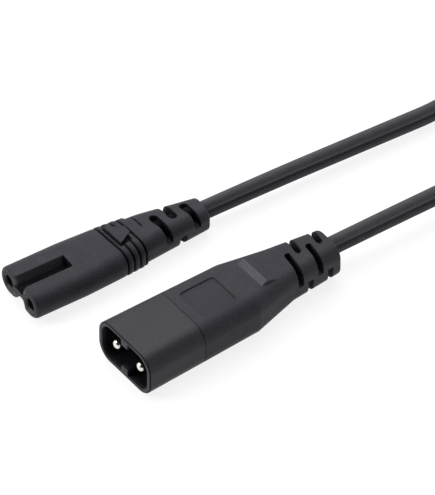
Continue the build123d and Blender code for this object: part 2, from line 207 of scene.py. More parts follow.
@dataclass(frozen=True)
class EndFrame:
    """Frame of one end of the lead: origin in the middle of its mating face."""

    origin: Point
    turn: float = 0.0

    def place(self, across: Grid, up: Grid, along: Grid) -> Grid:
        """Points of the row frame: the origin plus each size times its own unit direction.

        Args:
            across: Sizes towards the far side.
            up: Sizes above the axis.
            along: Sizes back from the mating face.

        Returns:
            Points in metres, with the three coordinates in the last dimension.
        """
        turn = math.radians(self.turn)
        across, up, along = np.broadcast_arrays(across, up, along)
        x = self.origin[0] + across * math.sin(turn) + along * math.cos(turn)
        y = self.origin[1] + across * math.cos(turn) - along * math.sin(turn)
        z = self.origin[2] + up
        return np.stack([x, y, z], axis=-1) * MM


@dataclass
class Patch:
    """Grid of points that becomes part of a mesh, with its shading values and UV."""

    points: Grid
    # recess carries painted shade; polish carries painted light together with a lower roughness.
    recess: Grid | None = None
    painted_light_and_polish: Grid | None = None
    uv: Grid | None = None
    flipped: bool = False

    def values(self, label: str) -> Grid:
        """One of the shading values for each point, 0 where the grid has none."""
        given = getattr(self, label)
        return np.broadcast_to(0.0 if given is None else given, self.points.shape[:2]).ravel()

    def quads(self) -> Grid:
        """Corners of the grid's faces; columns close on themselves and rows don't.

        Returns:
            Four corners for each face, in the other order where the grid is flipped.
        """
        rows, columns = self.points.shape[:2]
        row = np.arange(rows - 1)[:, None] * columns
        column = np.arange(columns)[None, :]
        here, right = row + column, row + (column + 1) % columns
        faces = np.stack([here, right, right + columns, here + columns], axis=-1).reshape(-1, 4)
        return faces[:, ::-1] if self.flipped else faces


def mesh_object(name: str, patches: list[Patch]) -> bpy.types.Object:
    """Mesh object of several grids, welded where they meet and smooth up to the sharp angle.

    Args:
        name: Name of the piece.
        patches: Grids whose edges coincide where the surface goes on.

    Returns:
        The linked object, at the origin.
    """
    starts = np.cumsum([0, *[patch.points.shape[0] * patch.points.shape[1] for patch in patches]])
    points = np.concatenate([patch.points.reshape(-1, 3) for patch in patches])
    faces = np.concatenate([patch.quads() + start for patch, start in zip(patches, starts)])
    mesh = bpy.data.meshes.new(name)
    mesh.from_pydata(points.tolist(), [], faces.tolist())
    for label in ("recess", "painted_light_and_polish"):
        values = np.concatenate([patch.values(label) for patch in patches])
        layer = mesh.attributes.new(label, "FLOAT", "POINT")
        layer.data.foreach_set("value", values.astype(np.float32))
    if all(patch.uv is not None for patch in patches):
        uv = np.concatenate([patch.uv.reshape(-1, 2) for patch in patches])
        layer = mesh.uv_layers.new(name="length")
        layer.data.foreach_set("uv", uv[faces.ravel()].astype(np.float32).ravel())
    # Faces deep in painted shade take the second material, the copy that shines less.
    deepest = np.concatenate([patch.values("recess") for patch in patches])[faces].mean(axis=1)
    mesh.polygons.foreach_set("material_index", (deepest > DEEP_FROM).astype(np.int32))
    weld = bmesh.new()
    weld.from_mesh(mesh)
    bmesh.ops.remove_doubles(weld, verts=weld.verts, dist=WELD)
    weld.to_mesh(mesh)
    weld.free()
    mesh.polygons.foreach_set("use_smooth", np.ones(len(mesh.polygons), dtype=bool))
    mesh.set_sharp_from_angle(angle=SHARP_ANGLE)
    mesh.update()
    piece = bpy.data.objects.new(name, mesh)
    bpy.context.scene.collection.objects.link(piece)
    return piece


@dataclass(frozen=True)
class Station:
    """Rounded-rectangle section of a moulding at one place along its axis."""

    along: float
    width: float
    height: float
    corner: float
    across: float = 0.0
    up: float = 0.0


@dataclass(frozen=True)
class Loft:
    """Straight-sided loft through sections."""

    stations: tuple[Station, ...]

    def size(self, along: Grid, name: str) -> Grid:
        """One size of the section, straight from each station to the next."""
        places = [station.along for station in self.stations]
        return np.interp(along, places, [getattr(station, name) for station in self.stations])

    def outline(self, along: Grid, angle: Grid, inset: Amount = 0.0) -> tuple[Grid, Grid]:
        """Points of the loft as middle plus radius times direction, the radius less an inset.

        Args:
            along: Column of stations.
            angle: Row of directions.
            inset: Distance by which the surface stands in from the section.

        Returns:
            Sizes across and up, in the shape of the grid.
        """
        radius = rounded_rectangle(
            angle,
            self.size(along, "width") / 2,
            self.size(along, "height") / 2,
            self.size(along, "corner"),
        ) - inset
        across = self.size(along, "across") + radius * np.cos(angle)
        up = self.size(along, "up") + radius * np.sin(angle)
        return across, up


@dataclass(frozen=True)
class StrainRelief:
    """Staggered quarter slots of a strain relief, cut down to a core round the cord."""

    start: float
    length: float
    slots: int
    front_margin: float
    back_margin: float
    slot_width: float
    cord_across: float = 0.0
    cord_up: float = 0.0
    cord_turn: float = 0.0
    past_middle: float = 0.6
    near_short: float = 0.0
    rake: float = 0.0
    core_width: float = 2.7
    core_height: float = 5.4
    core_corner: float = 1.3
    edge: float = 0.16
    front_ramp: float = 0.5
    ramp_reach: float = 3.0
    end_fade: float = 0.3
    shade_grow: float = 0.1
    slot_shade: float = 0.7
    end_round: float = 0.4
    round_rows: int = 6
    row_step: float = 0.11
    core_tuck: float = 0.6

    def round_start(self) -> float:
        """Station where the rounding of the outer end begins."""
        return self.start + self.length - self.end_round

    def from_cord(self, across: Grid, along: Grid) -> tuple[Grid, Grid]:
        """Plan sizes turned into the cord's own frame.

        Args:
            across: Sizes across of the surface.
            along: Stations of the surface.

        Returns:
            Sizes across the cord, and along it from the relief's start.
        """
        turn = math.radians(self.cord_turn)
        side = across - self.cord_across
        back = along - self.start
        across_cord = side * math.cos(turn) + back * math.sin(turn)
        return across_cord, back * math.cos(turn) - side * math.sin(turn)

    def core(self, along: Grid, angle: Grid, inset: float = 0.0) -> tuple[Grid, Grid]:
        """Outline of the core: a rounded rectangle about the cord's middle at each station.

        Args:
            along: Stations.
            angle: Directions of the columns.
            inset: Distance by which the outline stands in.

        Returns:
            Sizes across and up.
        """
        half_width, half_height = self.core_width / 2, self.core_height / 2
        radius = rounded_rectangle(angle, half_width, half_height, self.core_corner) - inset
        middle = self.cord_across - (along - self.start) * math.tan(math.radians(self.cord_turn))
        return middle + radius * np.cos(angle), self.cord_up + radius * np.sin(angle)

    def openness(self, across: Grid, up: Grid, along: Grid) -> tuple[Grid, Grid]:
        """Share from 0 to 1 by which each point lies in a slot, and how far it is in shade there.

        In plan a slot is a stadium: the distance to a line that runs from just past the middle out
        to the open side, leaning back by the rake, less half of the width. Its front edge slopes in
        more and more towards the side, and its back edge is steep. Each row opens one upper and the
        opposite lower quarter, and the next row the other two; those on the near side start a
        little further out. The painted shade is that of a slightly larger slot.

        Args:
            across: Sizes across of the surface.
            up: Sizes up of the surface.
            along: Stations of the surface.

        Returns:
            The share and the painted shade, 1 inside a slot.
        """
        side, back = self.from_cord(across, along)
        pitch = (self.length - self.front_margin - self.back_margin) / (self.slots - 1)
        height = up - self.cord_up
        share = np.zeros(np.broadcast_shapes(side.shape, back.shape))
        shade = np.zeros_like(share)
        for slot in range(self.slots):
            from_slot = back - self.front_margin - slot * pitch - self.rake * side
            front = soft_step(-from_slot, self.slot_width / 2)
            for level in (1.0, -1.0):
                towards = level if slot % 2 else -level
                outward = side * towards
                start = -self.past_middle if towards > 0.0 else self.near_short - self.past_middle
                short = np.minimum(outward - start, 0.0)
                gap = np.hypot(from_slot, short) - self.slot_width / 2
                reach = np.clip(outward / self.ramp_reach, 0.0, 1.0)
                slope = front * reach * (self.front_ramp - self.edge)
                inward = -gap - slope / 2
                above = level * height - self.end_fade / 2
                opened = soft_step(above, self.end_fade) * soft_step(inward, self.edge + slope)
                share = np.maximum(share, opened)
                # Painted shade covers a slightly larger slot than the cut.
                dark = soft_step(above + self.shade_grow, self.end_fade)
                dark = dark * soft_step(inward + self.shade_grow, self.edge + slope)
                shade = np.maximum(shade, dark)
        return share, self.slot_shade * shade

    def carve(self, across: Grid, up: Grid, along: Grid, angle: Grid) -> tuple[Grid, Grid, Grid]:
        """Move the points of the slots in to the core.

        Args:
            across: Sizes across of the whole surface.
            up: Sizes up of the whole surface.
            along: Stations of the surface.
            angle: Directions of its columns.

        Returns:
            New sizes across and up, and how much painted shade each point gets.
        """
        opened = self.openness(across, up, along)
        share, shade = (np.where(along > self.start, part, 0.0) for part in opened)
        core_across, core_up = self.core(along, angle)
        return blend(across, core_across, share), blend(up, core_up, share), shade

    def end_rows(self, loft: Loft, angle: Grid) -> tuple[Grid, Grid, Grid]:
        """Rows that round the outer end and close it down to the cord.

        Args:
            loft: Outside of the moulding.
            angle: Directions of the columns.

        Returns:
            Sizes across, up and along of the rows.
        """
        turn = np.linspace(0.0, math.pi / 2, self.round_rows)[1:, None]
        end = self.start + self.length
        along = end - self.end_round * (1.0 - np.sin(turn))
        outer = loft.outline(np.full_like(along, end), angle, self.end_round * (1.0 - np.cos(turn)))
        inner = self.core(np.array([[end]]), angle, self.core_tuck)
        share = np.linspace(0.0, 1.0, self.round_rows)[1:, None]
        across, up = (
            np.concatenate([rim, blend(rim[-1:], core, share), np.full_like(core, core.mean())])
            for rim, core in zip(outer, inner)
        )
        stations = np.concatenate([along, np.full((len(share) + 1, 1), end)])
        return across, up, np.broadcast_to(stations, across.shape)


# Sizes that both ends share, and the plug's frame and the seam between its shroud and its body.
POLE_SPACING = 8.6
PLUG_FRAME = EndFrame((-7.65, 0.0, 5.55))
PLUG_SEAM = Station(15.3, 17.9, 11.1, 4.0)
SEAM_CHAMFER = 0.14


@dataclass
class Connector:
    """Soft moulding of the connector: figure-eight nose, ribbed grip, tail and strain relief."""

    axis: EndFrame = EndFrame((-13.15, 30.95, 3.95), 4.0)
    pole_spacing: float = POLE_SPACING
    lobe: float = 6.65
    lobe_corner: float = 3.25
    nose_length: float = 13.5
    groove_half_width: float = 1.5
    groove_depth: float = 2.1
    groove_length: float = 12.6
    groove_lip: float = 0.5
    rim_round: float = 0.8
    rim_rows: int = 8
    tube_diameter: float = 4.4
    waist: Station = Station(22.4, 14.0, 7.2, 3.4)
    grip_end: Station = Station(29.6, 12.1, 7.9, 3.3)
    ring_grooves: int = 4
    ring_margins: Pair = (1.0, 1.1)
    ring_width: float = 0.48
    ring_depth: float = 0.45
    ring_edge: float = 0.32
    rib_crown: float = 0.1
    pad_setback: float = 2.1
    pad_length: float = 3.9
    pad_half_widths: Pair = (3.2, 1.1)
    pad_across: float = 0.7
    pad_rise: float = 0.5
    channel_widths: Pair = (0.38, 1.8)
    channel_short: float = 1.0
    rake: float = -0.1
    shoulder_step: float = 0.4
    tail: Station = Station(33.0, 10.5, 7.5, 3.0)
    mark_setback: float = 2.1
    mark_length: float = 4.4
    mark_width: float = 0.35
    mark_depth: float = 0.3
    mark_shade: float = 0.6
    relief_end: Station = Station(47.0, 7.0, 6.6, 2.6, -0.35, -0.35)
    relief: StrainRelief = StrainRelief(
        start=33.0, length=14.0, slots=3, front_margin=2.2, back_margin=4.0, slot_width=1.9,
        front_ramp=2.0, end_fade=0.9, rake=-0.1,
    )
    edge: float = 0.12
    shoulder_gap: float = 0.02
    wide_step: float = 0.5
    end_step: float = 0.02
    grip_step: float = 0.1
    tail_step: float = 0.13
    groove_draft: float = 1.2
    groove_shade: float = 0.9
    floor_power: float = 6.0
    end_power: float = 0.25
    smooth_light_from: float = 0.3
    smooth_light_reach: float = 0.4
    ring_shade: float = 0.85
    end_reach: float = 0.6
    end_shade: float = 1.0
    end_margin: float = 0.1
    seam_width: float = 0.16
    seat_depth: float = 12.0
    middle_points: int = 25
    face_rows: int = 5

    def loft(self) -> Loft:
        """Sections from the face to the end of the strain relief, the shoulder as two close ones.

        Returns:
            The moulding's outside, without its grooves and slots.
        """
        grip = self.grip_end
        width = self.pole_spacing + self.lobe
        step = 2 * self.shoulder_step
        return Loft((
            Station(0.0, width, self.lobe, self.lobe_corner),
            Station(self.nose_length, width, self.lobe, self.lobe_corner),
            self.waist,
            replace(grip, along=grip.along - self.shoulder_gap),
            Station(
                grip.along + self.shoulder_gap, grip.width - step, grip.height - step,
                grip.corner - self.shoulder_step,
            ),
            self.tail,
            self.relief_end,
        ))

    def stations(self) -> Grid:
        """Rows along the axis, close together where the shape changes.

        Returns:
            The stations as a column.
        """
        turn = np.linspace(0.0, math.pi / 2, self.rim_rows)
        rim = self.rim_round * (1.0 - np.cos(turn))
        shoulder = self.grip_end.along
        rest = spaced(
            (self.rim_round, self.wide_step),
            (self.groove_length - self.end_margin, self.end_step),
            (self.groove_length + self.end_margin, self.wide_step),
            (self.waist.along, self.grip_step),
            (shoulder - self.shoulder_gap, 2 * self.shoulder_gap),
            (shoulder + self.shoulder_gap, self.tail_step),
            (self.relief.start, self.relief.row_step),
            end=self.relief.round_start(),
        )
        return np.concatenate([rim, rest[1:]])[:, None]

    def grooved(self, across: Grid, up: Grid, along: Grid) -> tuple[Grid, Grid, Grid]:
        """Lower the middle of the nose's top and bottom into the grooves between the lobes.

        A point between the walls goes straight in by the depth, and the walls lean by the draft.
        Outside a wall, a quarter circle rounds the lip. At the face, the walls stand back by the
        rim's round. The floor gets painted shade by a high power of the share of the depth, and the
        end wall by a low one. The walls between get a painted light colour and a lower roughness.

        Args:
            across: Sizes across.
            up: Sizes up.
            along: Stations.

        Returns:
            New sizes up, how much painted shade each point gets, and how much painted light and
            polish.
        """
        half = self.groove_half_width + rounded_inset(along, self.rim_round)
        inside = soft_step(half - np.abs(across), self.groove_draft)
        beside = np.abs(across) - half
        lip = np.where(beside > 0.0, rounded_inset(beside, self.groove_lip), 0.0)
        before_end = soft_step(self.groove_length - along, self.edge)
        depth = np.maximum(self.groove_depth * inside, lip) * before_end
        share = depth / self.groove_depth
        near_end = soft_step(along - self.groove_length + self.end_reach / 2, self.end_reach)
        on_floor = share**self.floor_power
        on_end = near_end * share**self.end_power
        # Painted shade on the groove's floor and end wall; painted light on its walls.
        shade = np.maximum(self.groove_shade * on_floor, self.end_shade * on_end)
        smooth = soft_step(share - self.smooth_light_from, self.smooth_light_reach) * (1.0 - on_floor)
        smooth = smooth * (1.0 - near_end)
        return up - np.sign(up) * depth, shade, smooth

    def ribbed(self, across: Grid, up: Grid, along: Grid) -> tuple[Grid, Grid, Grid]:
        """Cut the grip's ring grooves, towards the axis, and raise the level pad on its top.

        Rings and pad lean back by the rake. A channel as deep as the rings runs along the pad's
        front and widens down its near side: a band outside the pad's outline.

        Args:
            across: Sizes across.
            up: Sizes up.
            along: Stations.

        Returns:
            New sizes across and up, and the share of each point that lies in a groove.
        """
        first = self.waist.along + self.ring_margins[0]
        last = self.grip_end.along - self.ring_margins[1]
        pitch = (last - first) / (self.ring_grooves - 1)
        along = along - self.rake * across
        place = (along - first) / pitch
        nearest = first + pitch * np.clip(np.round(place), 0, self.ring_grooves - 1)
        ring = soft_step(self.ring_width / 2 - np.abs(along - nearest), self.ring_edge)
        crown = self.rib_crown * np.sin(math.pi * np.clip(place, 0.0, self.ring_grooves - 1)) ** 2
        back = along - self.waist.along - self.pad_setback
        share = np.clip(back / self.pad_length, 0.0, 1.0)
        half = blend(*self.pad_half_widths, share)
        inside = np.minimum(back, half - np.abs(across - self.pad_across))
        before_back = self.pad_length - back
        pad = soft_step(np.minimum(inside, before_back), 2 * self.edge) * (up > 0.0)
        width = blend(*self.channel_widths, share)
        band = np.minimum(np.minimum(-inside, inside + width), before_back - self.channel_short)
        beside = (up > 0.0) & (across < self.pad_across + half)
        channel = soft_step(band, 2 * self.edge) * beside
        ring = np.maximum(ring * (1.0 - pad), channel)
        radius = np.hypot(across, up)
        shrink = 1.0 - (self.ring_depth * ring - crown) / np.maximum(radius, TINY)
        grip = self.grip_end.along - self.waist.along
        top = blend(self.waist.height, self.grip_end.height, self.pad_setback / grip) / 2
        return across * shrink, blend(up * shrink, top + self.pad_rise, pad), ring

    def marked(self, across: Grid, up: Grid, along: Grid) -> tuple[Grid, Grid]:
        """Press the short line into the tail's top: points under it go down to a level floor.

        Args:
            across: Sizes across.
            up: Sizes up.
            along: Stations.

        Returns:
            New sizes up, and the share of each point that lies in the line.
        """
        share = self.mark_setback / (self.tail.along - self.grip_end.along)
        top = blend(self.grip_end.height - 2 * self.shoulder_step, self.tail.height, share) / 2
        away = np.abs(along - self.grip_end.along - self.mark_setback - self.rake * across)
        beside = np.minimum(across, self.mark_length - across)
        inside = np.minimum(self.mark_width / 2 - away, beside)
        line = soft_step(inside, self.edge) * (up > 0.0)
        return np.minimum(up, blend(up, top - self.mark_depth, line)), line

    def face(self, across: Grid, up: Grid, side: Side) -> Patch:
        """Half of the mating face, from the outline in to one contact's tube and into its seat.

        Columns run from the outline, closed by the middle line, straight towards the bore's middle.
        A chamfer makes the seam round the tube, and the seat goes straight back to its flat end.

        Args:
            across: Sizes across of the outline's first row.
            up: Sizes up of that row.
            side: The half.

        Returns:
            The half face as a grid.
        """
        rim = np.roll(np.column_stack([across, up]), COLUMNS // 4, axis=0)
        far, near = rim[:COLUMNS // 2], rim[COLUMNS // 2:]
        middle = blend(far[-1], far[0], np.linspace(0.0, 1.0, self.middle_points)[:, None])
        loop = np.concatenate([far, middle[1:-1]] if side is Side.FAR else [near, middle[::-1]])
        centre = np.array([side.value * self.pole_spacing / 2, 0.0])
        from_centre = (loop - centre)[None]
        distance = np.linalg.norm(from_centre, axis=-1, keepdims=True)
        ring = from_centre / distance * self.tube_diameter / 2
        share = np.linspace(0.0, 1.0, self.face_rows)[:, None, None]
        flat = blend(from_centre, ring * (1.0 + 2 * self.seam_width / self.tube_diameter), share)
        points = centre + np.concatenate([flat, ring, ring, 0.0 * ring])
        seat = [self.seam_width, self.seat_depth, self.seat_depth]
        along = np.array([*np.zeros(self.face_rows), *seat])[:, None]
        placed = self.axis.place(points[..., 0], points[..., 1], along)
        # Every point behind the face, in the seam's chamfer and down the seat, gets the full recess
        # value: painted shade.
        return Patch(placed, recess=(along > 0.0).astype(float), flipped=True)

    def build(self) -> bpy.types.Object:
        """Make the moulding and let it stand for its CAD node.

        Returns:
            The piece.
        """
        angle = loop_angles()
        along = self.stations()
        loft = self.loft()
        across, up = loft.outline(along, angle, rounded_inset(along, self.rim_round))
        up, groove, smooth = self.grooved(across, up, along)
        rib_across, rib_up, ring = self.ribbed(across, up, along)
        on_grip = (along > self.waist.along) & (along < self.grip_end.along)
        across = np.where(on_grip, rib_across, across)
        up = np.where(on_grip, rib_up, up)
        on_tail = (along > self.grip_end.along) & (along < self.tail.along)
        mark_up, mark = self.marked(across, up, along)
        up = np.where(on_tail, mark_up, up)
        across, up, slot = self.relief.carve(across, up, along, angle)
        end_across, end_up, end_along = self.relief.end_rows(loft, angle)
        # Painted shade in the ring grooves and the pressed line; with the groove's and the slots'
        # painted shade it makes the recess value.
        lines = self.ring_shade * ring * on_grip + self.mark_shade * mark * on_tail
        recess = np.maximum(groove, np.maximum(lines, slot))
        blank = np.zeros_like(end_up)
        points = self.axis.place(
            np.concatenate([across, end_across]),
            np.concatenate([up, end_up]),
            np.concatenate([np.broadcast_to(along, up.shape), end_along]),
        )
        outside = Patch(
            points, recess=np.concatenate([recess, blank]), painted_light_and_polish=np.concatenate([smooth, blank]),
        )
        faces = [self.face(across[0], up[0], side) for side in Side]
        return finished("connector_moulding", [outside, *faces], Finish.BODY, "connector_body")


@dataclass
class PlugBody:
    """Soft moulding of the plug behind its shroud: body, taper and strain relief."""

    axis: EndFrame = PLUG_FRAME
    front: Station = PLUG_SEAM
    shoulder: Station = Station(30.5, 17.0, 10.9, 3.8)
    neck: Station = Station(42.0, 12.2, 8.9, 3.0, 0.25, 0.15)
    relief_end: Station = Station(55.2, 9.4, 8.8, 3.0, -0.1, -0.15)
    seam_chamfer: float = SEAM_CHAMFER
    panel_setback: float = 2.5
    panel_length: float = 9.25
    panel_width: float = 9.4
    panel_across: float = -0.45
    panel_corner: float = 1.1
    panel_depth: float = 0.3
    bar_setback: float = 3.45
    bar_half_width: float = 4.4
    bar_length: float = 5.2
    bar_rise: float = 0.74
    bar_slope: float = 1.4
    bar_ribs: int = 3
    rib_rise: float = 0.06
    off_bar: float = -1.0
    relief: StrainRelief = StrainRelief(
        start=42.0, length=13.2, slots=4, front_margin=2.5, back_margin=2.3, slot_width=1.3,
        cord_across=1.0, cord_up=0.25, cord_turn=1.8, near_short=1.2, rake=0.1,
    )
    edge: float = 0.16
    panel_margin: float = 0.2
    bar_margin: float = 0.1
    panel_shade: float = 0.1
    wide_step: float = 0.4
    edge_step: float = 0.05
    panel_step: float = 0.13
    bar_step: float = 0.15
    neck_step: float = 0.3
    front_rows: int = 3

    def loft(self) -> Loft:
        """Sections from the seam to the end of the strain relief."""
        return Loft((self.front, self.shoulder, self.neck, self.relief_end))

    def stations(self) -> Grid:
        """Rows along the axis, close together where the shape changes.

        Returns:
            The stations as a column.
        """
        panel = self.front.along + self.panel_setback
        panel_end = panel + self.panel_length
        margin = self.panel_margin
        bar = self.shoulder.along + self.bar_setback
        return spaced(
            (self.front.along, self.seam_chamfer),
            (self.front.along + self.seam_chamfer, self.wide_step),
            (panel - margin, self.edge_step),
            (panel + margin, self.panel_step),
            (panel_end - margin, self.edge_step),
            (panel_end + margin, self.wide_step),
            (self.shoulder.along, self.wide_step),
            (bar - self.bar_margin, self.edge_step),
            (bar + self.bar_slope + self.bar_margin, self.bar_step),
            (bar + self.bar_length, self.neck_step),
            (self.relief.start, self.relief.row_step),
            end=self.relief.round_start(),
        )[:, None]

    def panelled(self, across: Grid, up: Grid, along: Grid) -> tuple[Grid, Grid]:
        """Sink the bare panel into the top, inside a rounded rectangle in plan.

        Its signed distance is the corner radius less the length of the overhang past the corner's
        middle, and points inside go down to a level floor.

        Args:
            across: Sizes across.
            up: Sizes up.
            along: Stations.

        Returns:
            New sizes up, and the share of the full depth.
        """
        middle = self.panel_setback + self.panel_length / 2
        from_middle = np.abs(along - self.front.along - middle)
        over_along = from_middle - self.panel_length / 2 + self.panel_corner
        over_across = np.abs(across - self.panel_across) - self.panel_width / 2 + self.panel_corner
        outer = np.hypot(np.maximum(over_along, 0.0), np.maximum(over_across, 0.0))
        inside = self.panel_corner - outer - np.minimum(np.maximum(over_along, over_across), 0.0)
        body = self.shoulder.along - self.front.along
        top = blend(self.front.height, self.shoulder.height, middle / body) / 2
        share = soft_step(inside, self.edge) * (up > 0.0)
        return blend(up, top - self.panel_depth, share), share

    def barred(self, across: Grid, up: Grid, along: Grid) -> tuple[Grid, Grid]:
        """Raise the finger stop on the taper's top: steep at the front, then down a long slope.

        The front has a few fine ribs, whose rise is a squared sine up the slope. Away from the stop
        its profile lies under the taper, so the higher of the two is the surface.

        Args:
            across: Sizes across.
            up: Sizes up.
            along: Stations.

        Returns:
            New sizes up, and the share of each point on the front slope, which gets painted light.
        """
        start = self.shoulder.along + self.bar_setback
        share = self.bar_setback / (self.neck.along - self.shoulder.along)
        foot = blend(self.shoulder.height / 2, self.neck.height / 2 + self.neck.up, share)
        profile = np.interp(
            along,
            [start, start + self.bar_slope, start + self.bar_length],
            [foot, foot + self.bar_rise, foot - self.bar_rise],
            left=self.off_bar, right=self.off_bar,
        )
        up_slope = np.clip((along - start) / self.bar_slope, 0.0, 1.0)
        profile = profile + self.rib_rise * np.sin(math.pi * self.bar_ribs * up_slope) ** 2
        inside = soft_step(self.bar_half_width - np.abs(across), self.edge) * (up > 0.0)
        on_slope = np.minimum(along - start, start + self.bar_slope - along)
        slope = soft_step(on_slope + self.edge / 2, self.edge)
        return np.maximum(up, blend(up, profile, inside)), slope * inside

    def build(self) -> bpy.types.Object:
        """Make the moulding and let it stand for its CAD node.

        Returns:
            The piece.
        """
        angle = loop_angles()
        along = self.stations()
        loft = self.loft()
        chamfer = np.clip(self.seam_chamfer - (along - self.front.along), 0.0, self.seam_chamfer)
        across, up = loft.outline(along, angle, chamfer)
        up, panel = self.panelled(across, up, along)
        up, slope = self.barred(across, up, along)
        across, up, slot = self.relief.carve(across, up, along, angle)
        end_across, end_up, end_along = self.relief.end_rows(loft, angle)
        front = np.linspace(0.0, 1.0, self.front_rows + 1)[:-1, None]
        front_along = np.full((self.front_rows, COLUMNS), self.front.along)
        points = self.axis.place(
            np.concatenate([front * across[:1], across, end_across]),
            np.concatenate([front * up[:1], up, end_up]),
            np.concatenate([front_along, np.broadcast_to(along, up.shape), end_along]),
        )
        # Painted shade in the slots and, faintly, in the panel; painted light and a lower roughness
        # on the stop's front slope.
        shade = np.maximum(slot, self.panel_shade * panel)
        before, behind = np.zeros_like(front_along), np.zeros_like(end_up)
        recess, painted_light_and_polish = (np.concatenate([before, part, behind]) for part in (shade, slope))
        patch = Patch(points, recess=recess, painted_light_and_polish=painted_light_and_polish)
        return finished("plug_moulding", [patch], Finish.BODY, "plug_body")


@dataclass
class PinShroud:
    """Shell round the plug's pins: drafted outside, keyed recess and floor."""

    axis: EndFrame = PLUG_FRAME
    mouth: Station = Station(0.0, 18.7, 11.1, 4.0)
    back: Station = PLUG_SEAM
    wall: float = 0.85
    floor: float = 2.4
    rim_round: float = 0.35
    rim_shade: float = 0.7
    inner_round: float = 0.3
    seam_chamfer: float = SEAM_CHAMFER
    key_half_width: float = 1.1
    key_height: float = 1.6
    shade_reach: float = 2.2
    edge: float = 0.12
    outer_step: float = 0.6
    inner_step: float = 0.7
    rim_rows: int = 7
    lip_rows: int = 5
    floor_rows: int = 9

    def outer_rows(self, angle: Grid) -> tuple[Grid, Grid, Grid]:
        """Rows of the outside from the seam's chamfer forward to the rounded rim.

        Args:
            angle: Directions of the columns.

        Returns:
            Sizes across, up and along.
        """
        seam = self.back.along - self.seam_chamfer
        straight = spaced((self.rim_round, self.outer_step), end=seam)[::-1]
        turn = np.linspace(0.0, math.pi / 2, self.rim_rows)[1:]
        rim_along = self.rim_round * (1.0 - np.sin(turn))
        rim_inset = self.rim_round * (1.0 - np.cos(turn))
        along = np.concatenate([[self.back.along], straight, rim_along])[:, None]
        inset = np.concatenate([[self.seam_chamfer], np.zeros_like(straight), rim_inset])[:, None]
        across, up = Loft((self.mouth, self.back)).outline(along, angle, inset)
        across = np.concatenate([0.0 * across[:1], across])
        up = np.concatenate([0.0 * up[:1], up])
        return across, up, np.broadcast_to(np.concatenate([along[:1], along]), up.shape)

    def inner_rows(self, angle: Grid) -> tuple[Grid, Grid, Grid]:
        """Rows of the recess from its rim back to the floor, and in to the floor's middle.

        The two keys are points near the middle of the top and bottom, moved straight in. The floor
        is the last outline scaled down to a point.

        Args:
            angle: Directions of the columns.

        Returns:
            Sizes across, up and along.
        """
        depth = self.back.along - self.floor
        turn = np.linspace(0.0, math.pi / 2, self.lip_rows)
        rim = self.inner_round * (1.0 - np.cos(turn))
        straight = spaced((self.inner_round, self.inner_step), end=depth)[1:]
        along = np.concatenate([rim, straight])[:, None]
        width = self.back.width - 2 * self.wall
        height = self.back.height - 2 * self.wall
        recess = Loft((Station(0.0, width, height, self.back.corner - self.wall),))
        across, up = recess.outline(along, angle, -rounded_inset(along, self.inner_round))
        key = soft_step(self.key_half_width - np.abs(across), self.edge)
        up = up - np.sign(up) * self.key_height * key
        share = np.linspace(1.0, 0.0, self.floor_rows)[1:, None]
        stations = np.concatenate([along, np.full((len(share), 1), depth)])
        across = np.concatenate([across, share * across[-1:]])
        up = np.concatenate([up, share * up[-1:]])
        return across, up, np.broadcast_to(stations, up.shape)

    def build(self) -> bpy.types.Object:
        """Make the shell as one grid from outside, over the rim and in.

        The rim's round carries a line of painted shade: share times 1 - share over the round, times
        4 for a full shade in the middle.

        Returns:
            The piece, which stands for its CAD node.
        """
        angle = loop_angles()
        outer = self.outer_rows(angle)
        inner = self.inner_rows(angle)
        across, up, along = (np.concatenate(rows) for rows in zip(outer, inner))
        share = np.clip(outer[2] / self.rim_round, 0.0, 1.0)
        line = 4.0 * self.rim_shade * share * (1.0 - share)
        # The rim's line of painted shade, then painted shade that deepens from the rim back into the
        # recess.
        depth = np.concatenate([line, soft_step(inner[2] - self.shade_reach / 2, self.shade_reach)])
        patch = Patch(self.axis.place(across, up, along), recess=depth, flipped=True)
        return finished("pin_shroud_shell", [patch], Finish.SHROUD, "pin_shroud")


@dataclass
class PlugPin:
    """Round pin with a domed tip."""

    side: Side
    axis: EndFrame = PLUG_FRAME
    pole_spacing: float = POLE_SPACING
    diameter: float = 2.4
    setback: float = 0.6
    tip_round: float = 0.9
    end: float = 14.0
    columns: int = 72
    tip_rows: int = 12
    side_rows: int = 24

    def build(self) -> bpy.types.Object:
        """Revolve the pin's profile, a flat, a quarter round and a straight side, about its line.

        Returns:
            The piece, which stands for its CAD node.
        """
        turn = np.linspace(0.0, math.pi / 2, self.tip_rows)
        flat = self.diameter / 2 - self.tip_round
        straight = np.linspace(self.setback + self.tip_round, self.end, self.side_rows)[1:]
        side = np.full_like(straight, self.diameter / 2)
        tip = flat + self.tip_round * np.sin(turn)
        radius = np.concatenate([[0.0, flat / 2], tip, side, [0.0]])[:, None]
        dome = self.setback + self.tip_round * (1.0 - np.cos(turn))
        along = np.concatenate([[self.setback, self.setback], dome, straight, [self.end]])[:, None]
        angle = loop_angles(self.columns)
        middle = self.side.value * self.pole_spacing / 2
        points = self.axis.place(middle + radius * np.cos(angle), radius * np.sin(angle), along)
        name = self.side.name.lower()
        return finished(f"plug_pin_{name}", [Patch(points)], Finish.PIN, f"pin_{name}")


